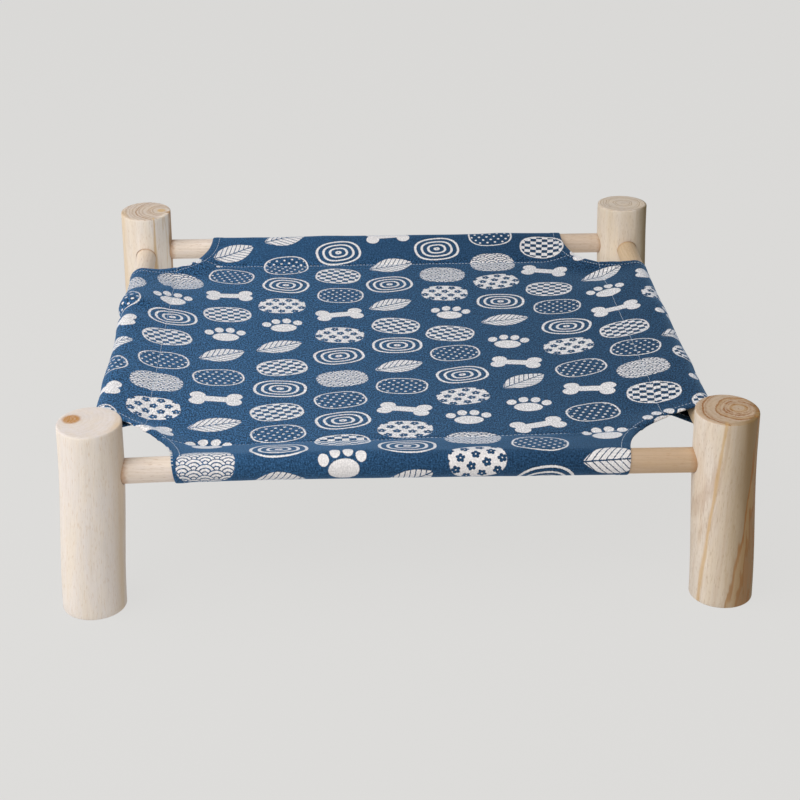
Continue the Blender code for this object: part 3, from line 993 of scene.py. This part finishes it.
def relief(u, v):
    """How far the cloth stands off its plain shape: seam grooves and puckers, hems and slack."""
    edge = which_flap(u, v)
    off = 0
    for (height, rate), drawn in ((SLOW_SLACK, 1.7), (QUICK_SLACK, 5.1)):
        off += height * wobble(u * rate, v * rate, drawn)
    for name, (x, y) in OUTWARDS.items():
        from_middle, along = (v * y, u) if y else (u * x, v)
        past = from_middle - SEAM_FROM_CENTRE[name]
        own = x + 2 * y
        pucker = wobble(along * PUCKER_RATE, 3.3, rail_out[name] * 40 + own)
        drift = wobble(along * DRIFT_RATE, 7.7, own)
        if abs(past) < SEAM_NEAR and edge in (None, name):
            off += pucker * swell(SEAM_PUCKER, past) - swell(SEAM_GROOVE, past)
            off += drift * swell(SEAM_DRIFT, past)
        if edge != name:
            continue
        for fold_edge, place, low_reach, high_reach, rise in SLEEVE_FOLDS:
            if fold_edge == name:
                reach = low_reach if along < place else high_reach
                off += swell((rise, reach, place), along) * swell(FOLD_SPREAD, past)
        for puff_edge, place, reach, rise in SEAM_PUFFS:
            if puff_edge == name:
                off += swell((rise, reach, place), along) * swell(PUFF_SPREAD, past)
        off += (1 + drift) * swell(SLEEVE_SWELL, past)
        under = from_middle - stage_start(name, OVERLAP)
        if abs(under) < UNDER_NEAR:
            off -= swell(UNDER_GROOVE, under)
            off += pucker * swell(UNDER_PUCKER, under) if under < 0 else 0
    if edge is None or abs(u) + abs(v) > 0.30:
        spot, index, away = cut_tree.find((u, v, 0))
        if away < HEM_NEAR:
            off += HEM_RAISE * smooth(away, HEM_WIDTH + 0.0014, HEM_WIDTH - 0.001)
            off -= swell(HEM_GROOVE, away)
            off += wobble(u * RIPPLE_RATE, v * RIPPLE_RATE, 9.0) * swell(HEM_RIPPLE, away)
            beyond = max(abs(u) - SEAM_FROM_CENTRE["right"], abs(v) - SEAM_FROM_CENTRE["front"], 0)
            roll = HEM_ROLL * max(0, 1 - away / HEM_ROLL_REACH) ** 2
            off -= roll * max(0, 1 - beyond / HEM_ROLL_END)
    return off


def cloth(u, v):
    """Place and outward normal of the printed face at a flat place of the cloth."""
    place, normal = bare_cloth(u, v)
    return place + normal * relief(u, v), normal


# The mesh. A middle block spans the four middles of the cuts, and a block for each flap runs from it
# over the seam and round the rail to the turned-in edge. All blocks have the same columns.

END_STEPS = (0.0, 0.0012, 0.0031, 0.0052, 0.0066, 0.0082, 0.0105)
MIDDLE_CELLS = 98
BLOCK_WIDTH = 0.38
ROWS_TO_SEAM = (0.30, 0.62, 0.86, 1.0)

# How far along each stage of a sleeve its rows lie.
EVEN_WRAP = [row / 17 for row in range(1, 18)]
STAGE_ROWS = (
    (0.045, 0.11, 0.2, 0.31, 0.42, 0.53, 0.64, 0.75, 0.86, 1.0), EVEN_WRAP,
    (0.14, 0.28, 0.42, 0.56, 0.7, 0.82, 0.91, 0.96, 1.0),
    (1 / 2, 1), (1 / 4, 2 / 4, 3 / 4, 1), (1 / 3, 2 / 3, 1),
)

# The hem's turn, and how far in from the cut the rest of it has its points.
TURN_STEPS = 4
HEM_STEPS = (0.0015, 0.0035, 0.0055, HEM_WIDTH)

ends = [step / BLOCK_WIDTH for step in END_STEPS]
middle = [ends[-1] + (1 - 2 * ends[-1]) * cell / MIDDLE_CELLS for cell in range(1, MIDDLE_CELLS)]
shares = ends + middle + [1 - share for share in reversed(ends)]
flat_places = []
mesh_places = []
mesh_faces = []


def add_point(flat, place):
    flat_places.append(flat)
    mesh_places.append(place)
    return len(mesh_places) - 1


def add_row(low, high):
    """A row of points of the cloth between two flat places."""
    row = []
    for share in shares:
        flat = low.lerp(high, share)
        row.append(add_point(flat, cloth(flat.x, flat.y)[0]))
    return row


def add_quads(one, other, flip):
    """Faces between two rows of points."""
    for i in range(len(one) - 1):
        face = (one[i], one[i + 1], other[i + 1], other[i])
        mesh_faces.append(face[::-1] if flip else face)


def line_at(points, edge, out):
    """The place on a cut's line at a distance out from the middle of the cloth, on one edge's flap."""
    x, y = OUTWARDS[edge]
    for one, other in zip(points, points[1:]):
        near, far = (point.x * x + point.y * y for point in (one, other))
        if near <= out <= far:
            return one.lerp(other, (out - near) / max(far - near, 1e-9))
    return points[-1] if out > SEAM_FROM_CENTRE[edge] else points[0]


def outward_of(before, after, flat):
    """The flat direction square to a run that points away from the middle of the cloth."""
    run = (after - before).normalized()
    out = Vector((run.y, -run.x))
    return -out if out.dot(flat) < 0 else out


block = []
for up in shares:
    row = []
    for across in shares:
        low = cut_middle["front_left"].lerp(cut_middle["front_right"], across)
        high = cut_middle["back_left"].lerp(cut_middle["back_right"], across)
        flat = low.lerp(high, up)
        row.append(add_point(flat, cloth(flat.x, flat.y)[0]))
    block.append(row)
for one, other in zip(block, block[1:]):
    add_quads(one, other, False)

border_rows = {
    "front": block[0], "back": block[-1],
    "left": [row[0] for row in block], "right": [row[-1] for row in block],
}
cut_columns = {}
for edge, border in border_rows.items():
    x, y = OUTWARDS[edge]
    corners = edge_corners(edge)
    seam = SEAM_FROM_CENTRE[edge]
    fold = stage_start(edge, FOLD)
    starts = [cut_middle[corner].x * x + cut_middle[corner].y * y for corner in corners]
    end_outs = [[start + (seam - start) * part for start in starts] for part in ROWS_TO_SEAM]
    for stage, parts in enumerate(STAGE_ROWS):
        end_outs += [[stage_start(edge, stage) + stages[edge][stage] * part] * 2 for part in parts]
    rows = [border]
    for outs in end_outs:
        row_ends = []
        for corner, out in zip(corners, outs):
            flat = line_at(cut_lines[corner, edge], edge, out)
            if outs[0] > fold:
                flat = Vector((flat.x, y * out)) if y else Vector((x * out, flat.y))
            row_ends.append(flat)
        rows.append(add_row(*row_ends))
    for one, other in zip(rows, rows[1:]):
        add_quads(one, other, edge in ("front", "right"))
    hemmed = [row for row, outs in zip(rows[1:], end_outs) if outs[0] <= fold + 1e-6]
    for corner, column in zip(corners, (0, -1)):
        cut_columns[corner, edge] = [row[column] for row in hemmed]

# The hems: the cloth turns under along each cut and lies flat against the layer above it.
corner_points = {
    "front_left": block[0][0], "front_right": block[0][-1],
    "back_left": block[-1][0], "back_right": block[-1][-1],
}
for corner, middle_point in corner_points.items():
    front_back, left_right = corner.split("_")
    along_cut = cut_columns[corner, front_back][::-1] + [middle_point] + cut_columns[corner, left_right]
    previous = None
    for spot, index in enumerate(along_cut):
        flat = flat_places[index]
        before = flat_places[along_cut[max(spot - 1, 0)]]
        after = flat_places[along_cut[min(spot + 1, len(along_cut) - 1)]]
        out = outward_of(before, after, flat)
        place, normal = cloth(flat.x, flat.y)
        inner = flat - out * SLOPE_STEP
        reach = (bare_cloth(flat.x, flat.y)[0] - bare_cloth(inner.x, inner.y)[0]).normalized()
        strip = [index]
        for step in range(1, TURN_STEPS + 1):
            angle = pi * step / TURN_STEPS
            turned = place + reach * turn_radius * sin(angle) - normal * turn_radius * (1 - cos(angle))
            strip.append(add_point(flat + out * turn_radius * angle, turned))
        for step in HEM_STEPS:
            inner = flat - out * step
            above, facing = cloth(inner.x, inner.y)
            strip.append(add_point(flat + out * (pi * turn_radius + step), above - facing * double_layer))
        if previous:
            side_x, side_y = corner_signs(corner)
            add_quads(previous, strip, side_x * side_y > 0)
        previous = strip

sling_mesh = bpy.data.meshes.new("sling_canvas")
sling_mesh.from_pydata(mesh_places, [], mesh_faces)
flat_map = sling_mesh.uv_layers.new(name="cloth_flat")
for loop in sling_mesh.loops:
    flat_map.data[loop.index].uv = flat_places[loop.vertex_index]
sling_mesh.update()
for face in mesh_faces:
    corners = [flat_places[index] for index in face]
sling = bpy.data.objects.new("sling_canvas", sling_mesh)
bpy.context.scene.collection.objects.link(sling)
for polygon in sling_mesh.polygons:
    polygon.use_smooth = True

# The cloth's print, in thousandths of a metre on the flat cloth: pale motifs on indigo, in columns with
# every other column dropped by half a row, each turned and shifted a little by its own chance.

COLUMN_PITCH = 50.0
ROW_PITCH = 46.0
MOTIF_HALF_WIDTH = 21.5
MOTIF_HALF_HEIGHT = 17.0
MOTIF_SHIFT = 5.0
MOTIF_TURN = 0.6
MOTIF_SQUARENESS = 2.5
PRINT_SHIFT = (25.0, 7.0, 0)
PRINT_FRAY = 0.9
LEAF_LEAN = (0.94, 0.34)


def inside(w, value, limit, soft=0.02):
    """1 where a value is under its limit, with a soft edge."""
    return w.ramp(value, limit - soft, limit + soft, 1.0, 0.0)


def oval(w, x, y, half_width, half_height):
    return w.length(w.join(w.mul(x, 1 / half_width), w.mul(y, 1 / half_height)))


def wrap(w, value, half):
    return w.maths("WRAP", value, half, -half)


def bricks(w, x, y, width, height):
    """Rows of cells, every other row shifted by half a cell: the row, and the place from a cell's middle."""
    level = w.mul(y, 1 / height)
    row = w.floor(level)
    cell_x = wrap(w, w.add(x, w.mul(w.odd(row), width / 2)), width / 2)
    cell_y = w.sub(w.mul(w.sub(level, row), height), height / 2)
    return row, cell_x, cell_y


def draw_outline(w, edge):
    return w.mul(inside(w, edge, 1.0), w.ramp(edge, 0.91, 0.95))


def draw_waves(w, x, y, edge):
    """Overlapping scales of arcs. Each row of scales hides the foot of the row behind it."""
    radius = 8.4
    level = w.mul(y, 2 / radius)
    row = w.floor(level)
    rise = w.mul(w.sub(level, row), radius / 2)
    to_front = wrap(w, w.add(w.add(x, radius), w.mul(w.odd(row), radius)), radius)
    front = w.length(w.join(to_front, w.add(rise, radius / 2)))
    behind = w.length(w.join(w.sub(radius, w.size(to_front)), rise))
    pick_behind = w.maths("GREATER_THAN", front, radius)
    reach = w.add(front, w.mul(pick_behind, w.sub(behind, front)))
    line = w.maths("PINGPONG", w.add(reach, 0.35), radius / 6)
    return w.mul(inside(w, edge, 1.0), w.ramp(line, 0.30, 0.60))


def draw_leaf(w, x, y, edge):
    """A pointed leaf with a dark middle vein and side veins."""
    upright, slant = LEAF_LEAN
    level = w.sub(w.mul(y, upright), w.mul(x, slant))
    run = w.add(w.mul(x, upright), w.mul(y, slant))
    width = w.sub(12.5, w.mul(w.mul(run, run), 12.5 / 500))
    away = w.size(level)
    blade = inside(w, w.sub(away, width), 0.0, 0.3)
    side_vein = w.size(wrap(w, w.sub(run, w.mul(away, 0.9)), 2.6))
    veins = w.most(inside(w, side_vein, 0.5, 0.2), inside(w, away, 0.6, 0.2))
    return w.sub(blade, w.mul(blade, veins))


def draw_checks(w, x, y, edge):
    squares = w.add(w.floor(w.mul(x, 1 / 5.6)), w.floor(w.mul(y, 1 / 4.4)))
    return w.most(w.mul(w.odd(squares), inside(w, edge, 0.95)), draw_outline(w, edge))


def draw_blossoms(w, x, y, edge):
    """A pale ground scattered with dark five-petalled flowers."""
    row, flower_x, flower_y = bricks(w, x, y, 12.0, 8.2)
    turn = w.maths("ARCTAN2", flower_y, flower_x)
    petals = w.size(w.maths("COSINE", w.add(w.mul(turn, 2.5), w.mul(row, 0.8))))
    reach = w.length(w.join(flower_x, flower_y))
    flower = w.mul(inside(w, w.sub(reach, w.mul(petals, 1.2)), 2.5, 0.2), w.ramp(reach, 0.45, 0.75))
    ground = inside(w, edge, 1.0)
    return w.sub(ground, w.mul(flower, ground))


def draw_dots(w, x, y, edge):
    row, dot_x, dot_y = bricks(w, x, y, 7.4, 4.6)
    dot = inside(w, w.length(w.join(dot_x, dot_y)), 1.15, 0.25)
    return w.most(w.mul(dot, inside(w, edge, 0.9)), draw_outline(w, edge))


def draw_paw(w, x, y, edge):
    """One broad pad under four toes."""
    pad = oval(w, x, w.add(y, 6.0), 11.5, 8.4)
    side = w.size(x)
    inner_toe = oval(w, w.sub(side, 4.9), w.sub(y, 9.0), 3.9, 5.4)
    outer_toe = oval(w, w.sub(side, 14.0), w.sub(y, 3.4), 4.0, 5.3)
    return inside(w, w.least(pad, w.least(inner_toe, outer_toe)), 1.0, 0.04)


def draw_ripples(w, x, y, edge):
    ring = w.maths("COSINE", w.mul(w.sub(edge, 0.97), 2 * pi * 3.4))
    return w.mul(w.ramp(ring, 0.25, 0.55), inside(w, edge, 1.05))


def draw_bone(w, x, y, edge):
    side = w.size(x)
    level = w.size(y)
    knob = w.length(w.join(w.sub(side, 15.0), w.sub(level, 5.4)))
    shaft = w.most(w.sub(level, 4.8), w.sub(side, 15.0))
    return inside(w, w.least(w.sub(knob, 6.3), shaft), 0.0, 0.25)


DRAWINGS = (draw_waves, draw_leaf, draw_checks, draw_blossoms, draw_dots, draw_paw, draw_ripples, draw_bone)


def make_canvas_print():
    w, given = open_group("canvas_print", (), (), ("White",))
    place = w.vector("MULTIPLY", given["Place"], (1000, 1000, 0))
    place = w.vector("SUBTRACT", place, PRINT_SHIFT)
    x, y, z = w.split(w.shake(place, place, 0.85, PRINT_FRAY))
    column = w.floor(w.mul(x, 1 / COLUMN_PITCH))
    dropped = w.add(y, w.mul(w.odd(column), ROW_PITCH / 2))
    row = w.floor(w.mul(dropped, 1 / ROW_PITCH))
    chance = w.node("TexWhiteNoise", {"Vector": w.join(column, row)}, noise_dimensions="2D")
    chance_x, chance_y, chance_turn = w.split(chance.outputs["Color"])
    from_middle = []
    for value, cell, pitch, luck in (
        (x, column, COLUMN_PITCH, chance_x), (dropped, row, ROW_PITCH, chance_y),
    ):
        middle = w.sub(w.sub(value, w.mul(cell, pitch)), pitch / 2)
        from_middle.append(w.add(middle, w.mul(w.sub(luck, 0.5), MOTIF_SHIFT)))
    turn = w.mul(w.sub(chance_turn, 0.5), MOTIF_TURN)
    turned = w.node("VectorRotate", {"Vector": w.join(*from_middle), "Angle": turn}, rotation_type="Z_AXIS")
    x, y, z = w.split(turned.outputs[0])
    # Which drawing a motif gets goes by its column, its row and a little chance.
    order = w.add(w.mul(column, 3.0), w.mul(row, 5.0))
    order = w.add(order, w.floor(w.mul(chance.outputs["Value"], 3.0)))
    kind = w.maths("FLOORED_MODULO", order, float(len(DRAWINGS)))
    wide = w.maths("POWER", w.size(w.mul(x, 1 / MOTIF_HALF_WIDTH)), MOTIF_SQUARENESS)
    high = w.maths("POWER", w.size(w.mul(y, 1 / MOTIF_HALF_HEIGHT)), MOTIF_SQUARENESS)
    edge = w.maths("POWER", w.add(wide, high), 1 / MOTIF_SQUARENESS)
    white = 0.0
    for number, draw in enumerate(DRAWINGS):
        picked = w.maths("COMPARE", kind, float(number), 0.5)
        white = w.add(w.mul(draw(w, x, y, edge), picked), white)
    return close_group(w, White=white)


# The canvas is a plain weave of uneven threads. The print lies on its outer face, and the reverse is
# the dark dyed side. The indigo is painted lighter at the left and darker towards the right, as painted
# light and shade for the falloff of the light across the cloth.

THREAD_PITCH = 0.66
THREAD_SLUB = 0.09
INDIGO = (0.0215, 0.070, 0.153, 1)
PAINTED_FALLOFF_FROM = -0.22
PAINTED_FALLOFF_TO = 0.28
PAINTED_LIGHT_LEFT = 1.16
PAINTED_SHADE_RIGHT = 0.58
PRINT_WHITE = (0.80, 0.765, 0.755, 1)
PRINT_HIDES_WEAVE = 0.75
SHEEN_WEIGHT = 0.36
SHEEN_ROUGHNESS = 0.45
SHEEN_TINT = (0.31, 0.60, 1.0, 1)
REVERSE_NAVY = (0.015, 0.027, 0.050, 1)
SHOW_THROUGH = 0.045
WEAVE_RELIEF = 0.00010
WEAVE_STRENGTH = 0.6


def make_canvas_weave():
    """Height and shade of a plain weave, from a place on the flat cloth."""
    w, given = open_group("canvas_weave", (), (), ("Shade", "Height"))
    place = w.vector("MULTIPLY", given["Place"], (1000, 1000, 0))
    x, y, z = w.split(place)
    slub_x = w.noise(place, (1 / THREAD_PITCH, THREAD_SLUB, 0), 1.0)
    slub_y = w.noise(place, (THREAD_SLUB, 1 / THREAD_PITCH, 0), 1.0)
    mottle = w.noise(place, (0.80, 0.80, 0), 3.0, 0.75)
    slub_warp = w.noise(place, (0.90, 0.42, 0), 1.0, 0.6)
    # The grain shows most where the cloth lies flat, inside the front and back seams.
    flat_lying = w.ramp(w.size(y), 188, 212, 0.82, 0.26)
    cross = w.mul(w.maths("SINE", w.mul(x, pi / THREAD_PITCH)), w.maths("SINE", w.mul(y, pi / THREAD_PITCH)))
    height = w.add(w.mul(cross, cross), w.mul(w.add(slub_x, slub_y), 0.7))
    threads = w.mul(w.ramp(slub_x, 0.25, 0.75, 0.86, 1.14), w.ramp(slub_y, 0.25, 0.75, 0.86, 1.14))
    shade = w.mul(threads, w.ramp(mottle, 0.30, 0.70, 0.45, 1.55))
    shade = w.mul(shade, w.add(1.0, w.mul(w.ramp(slub_warp, 0.34, 0.66, -1.0, 1.0), flat_lying)))
    return close_group(w, Shade=shade, Height=height)


def make_canvas_finish(name, printed):
    finish, w, shader = new_finish(name, roughness=0.9, specular=0.12)
    place = w.node("UVMap", {}, uv_map="cloth_flat").outputs[0]
    weave = w.use(canvas_weave, {"Place": place})
    white = w.use(canvas_print, {"Place": place})["White"]
    shade = w.grey(weave["Shade"])
    if printed:
        # Painted light and shade: the indigo is made lighter at the left and darker towards the right.
        painted_falloff = w.grey(w.ramp(w.split(place)[0], PAINTED_FALLOFF_FROM, PAINTED_FALLOFF_TO, PAINTED_LIGHT_LEFT, PAINTED_SHADE_RIGHT))
        colour = w.tint(white, w.dim(INDIGO, painted_falloff), PRINT_WHITE)
        shade = w.tint(w.mul(white, PRINT_HIDES_WEAVE), shade, (1, 1, 1, 1))
        shader.inputs["Sheen Weight"].default_value = SHEEN_WEIGHT
        shader.inputs["Sheen Roughness"].default_value = SHEEN_ROUGHNESS
        shader.inputs["Sheen Tint"].default_value = SHEEN_TINT
    else:
        colour = w.tint(w.mul(white, SHOW_THROUGH), REVERSE_NAVY, PRINT_WHITE)
    w.feed(shader.inputs["Base Color"], w.dim(colour, shade))
    add_bump(w, shader, weave["Height"], WEAVE_RELIEF, WEAVE_STRENGTH)
    return finish


canvas_weave = make_canvas_weave()
canvas_print = make_canvas_print()
sling.data.materials.append(make_canvas_finish("printed_canvas", True))
sling.data.materials.append(make_canvas_finish("canvas_reverse", False))

# The cloth gets its thickness, with the reverse's colour on its inner face and raw edges.
choose(sling)
body = sling.modifiers.new("cloth_body", "SOLIDIFY")
body.thickness = CANVAS_THICKNESS
body.offset = -1
body.use_even_offset = True
body.material_offset = 1
body.material_offset_rim = 1
bpy.ops.object.modifier_apply(modifier=body.name)

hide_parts("canvas_sling")
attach(sling, "root")


# Stitching. Pale cotton thread: one row of stitches through the two layers along every seam and one
# along every hem, shown on the upper and the lower face, and a few white whip stitches over the rim of
# the hem at the left end of the front sleeve.

STITCH_PITCH = 0.0032
STITCH_LENGTH = 0.0023
STITCH_TILT = 0.10
STITCH_STEP = 0.0006
SEAM_STEP = 0.001
SEAM_END = 0.002
UNDER_ROW = 0.0004
THREAD_RADIUS = 0.00022
THREAD_SIDES = 6
THREAD_COLOUR = (0.56, 0.62, 0.70, 1)

# A stitch's bands: how far along it each lies, and how thick it is there.
STITCH_BANDS = ((-0.42, 0.75), (-0.28, 1.0), (0.28, 1.0), (0.42, 0.75))
STITCH_RISE = 0.55
STITCH_DIP = 5.0
TIP_DEPTH = 0.9
WHIP_PITCH = 0.0029
WHIP_COUNT = 8
WHIP_FULLNESS = 1.7
WHIP_FROM = -0.0105
WHIP_OVERHANG = 0.0003
RIM_STEP = 0.002
WHIP_COLOUR = (0.80, 0.78, 0.76, 1)

thread_places = []
thread_faces = []


def add_stitch(place, run, normal, fullness):
    """One short bar of thread that dips into the cloth at both ends."""
    first = len(thread_places)
    bands = len(STITCH_BANDS)
    number = first // (bands * THREAD_SIDES + 2) + 1
    side = normal.cross(run).normalized()
    run = (run + side * STITCH_TILT * wobble(number * 0.73, 2.5, 0)).normalized()
    side = normal.cross(run).normalized()
    radius = THREAD_RADIUS * fullness
    for share, width in STITCH_BANDS:
        lift = radius * (STITCH_RISE - STITCH_DIP * share * share)
        middle = place + run * share * STITCH_LENGTH + normal * lift
        for corner in range(THREAD_SIDES):
            angle = 2 * pi * corner / THREAD_SIDES
            thread_places.append(middle + (side * cos(angle) + normal * sin(angle)) * radius * width)
    tips = len(thread_places)
    for share in (-0.5, 0.5):
        thread_places.append(place + run * share * STITCH_LENGTH - normal * radius * TIP_DEPTH)
    for corner in range(THREAD_SIDES):
        following = (corner + 1) % THREAD_SIDES
        for low in range(first, first + (bands - 1) * THREAD_SIDES, THREAD_SIDES):
            high = low + THREAD_SIDES
            thread_faces.append((low + corner, low + following, high + following, high + corner))
        last = first + (bands - 1) * THREAD_SIDES
        thread_faces.append((tips, first + following, first + corner))
        thread_faces.append((tips + 1, last + corner, last + following))


def stitch_at(flat, step, depth=0, fullness=1.0):
    """A stitch on the cloth at a flat place, along a flat step, on its upper face or depth below it."""
    place, normal = cloth(flat.x, flat.y)
    ahead = cloth(flat.x + step.x, flat.y + step.y)[0]
    run = (ahead - place).normalized()
    add_stitch(place - normal * depth, run, -normal if depth else normal, fullness)


for edge, (x, y) in OUTWARDS.items():
    seam = SEAM_FROM_CENTRE[edge]
    low, high = (line_at(cut_lines[corner, edge], edge, seam) for corner in edge_corners(edge))
    low_along, high_along = (low.x, high.x) if y else (low.y, high.y)
    for number in range(int((high_along - low_along - 2 * SEAM_END) / STITCH_PITCH)):
        along = low_along + SEAM_END + (number + 0.5) * STITCH_PITCH
        for out in (seam, stage_start(edge, OVERLAP) + UNDER_ROW):
            if y:
                stitch_at(Vector((along, y * out)), Vector((SEAM_STEP, 0)))
            else:
                stitch_at(Vector((x * out, along)), Vector((0, SEAM_STEP)))

for corner in CORNER_CUTS:
    front_back, left_right = corner.split("_")
    path = cut_lines[corner, front_back][::-1] + cut_lines[corner, left_right][1:]
    last = len(path) - 1
    offsets = []
    for number, point in enumerate(path):
        out = outward_of(path[max(number - 1, 0)], path[min(number + 1, last)], point)
        offsets.append(point - out * HEM_STITCH)
    gone = 0.0
    due = STITCH_PITCH
    for one, other in zip(offsets, offsets[1:]):
        length = (other - one).length
        if length < 1e-7:
            continue
        while gone + length >= due:
            flat = one.lerp(other, (due - gone) / length)
            step = (other - one).normalized() * STITCH_STEP
            stitch_at(flat, step)
            stitch_at(flat, step, double_layer)
            due += STITCH_PITCH
        gone += length

first_whip_face = len(thread_faces)
rim = cut_lines["front_left", "front"]
for number in range(WHIP_COUNT):
    out = rail_out["front"] + WHIP_FROM + number * WHIP_PITCH
    flat = line_at(rim, "front", out)
    run = (line_at(rim, "front", out + RIM_STEP) - flat).normalized()
    across = Vector((-abs(run.y), run.x))
    stitch_at(flat + across * WHIP_OVERHANG, across * STITCH_STEP, 0, WHIP_FULLNESS)

thread_mesh = bpy.data.meshes.new("sling_stitches")
thread_mesh.from_pydata(thread_places, [], thread_faces)
thread_mesh.update()
for polygon in thread_mesh.polygons:
    polygon.use_smooth = True
    polygon.material_index = 1 if polygon.index >= first_whip_face else 0
stitches = bpy.data.objects.new("sling_stitches", thread_mesh)
bpy.context.scene.collection.objects.link(stitches)
for thread_name, thread_colour in (("cotton_thread", THREAD_COLOUR), ("whip_thread", WHIP_COLOUR)):
    finish, w, shader = new_finish(thread_name, roughness=0.85, specular=0.2)
    shader.inputs["Base Color"].default_value = thread_colour
    stitches.data.materials.append(finish)
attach(stitches, "root")
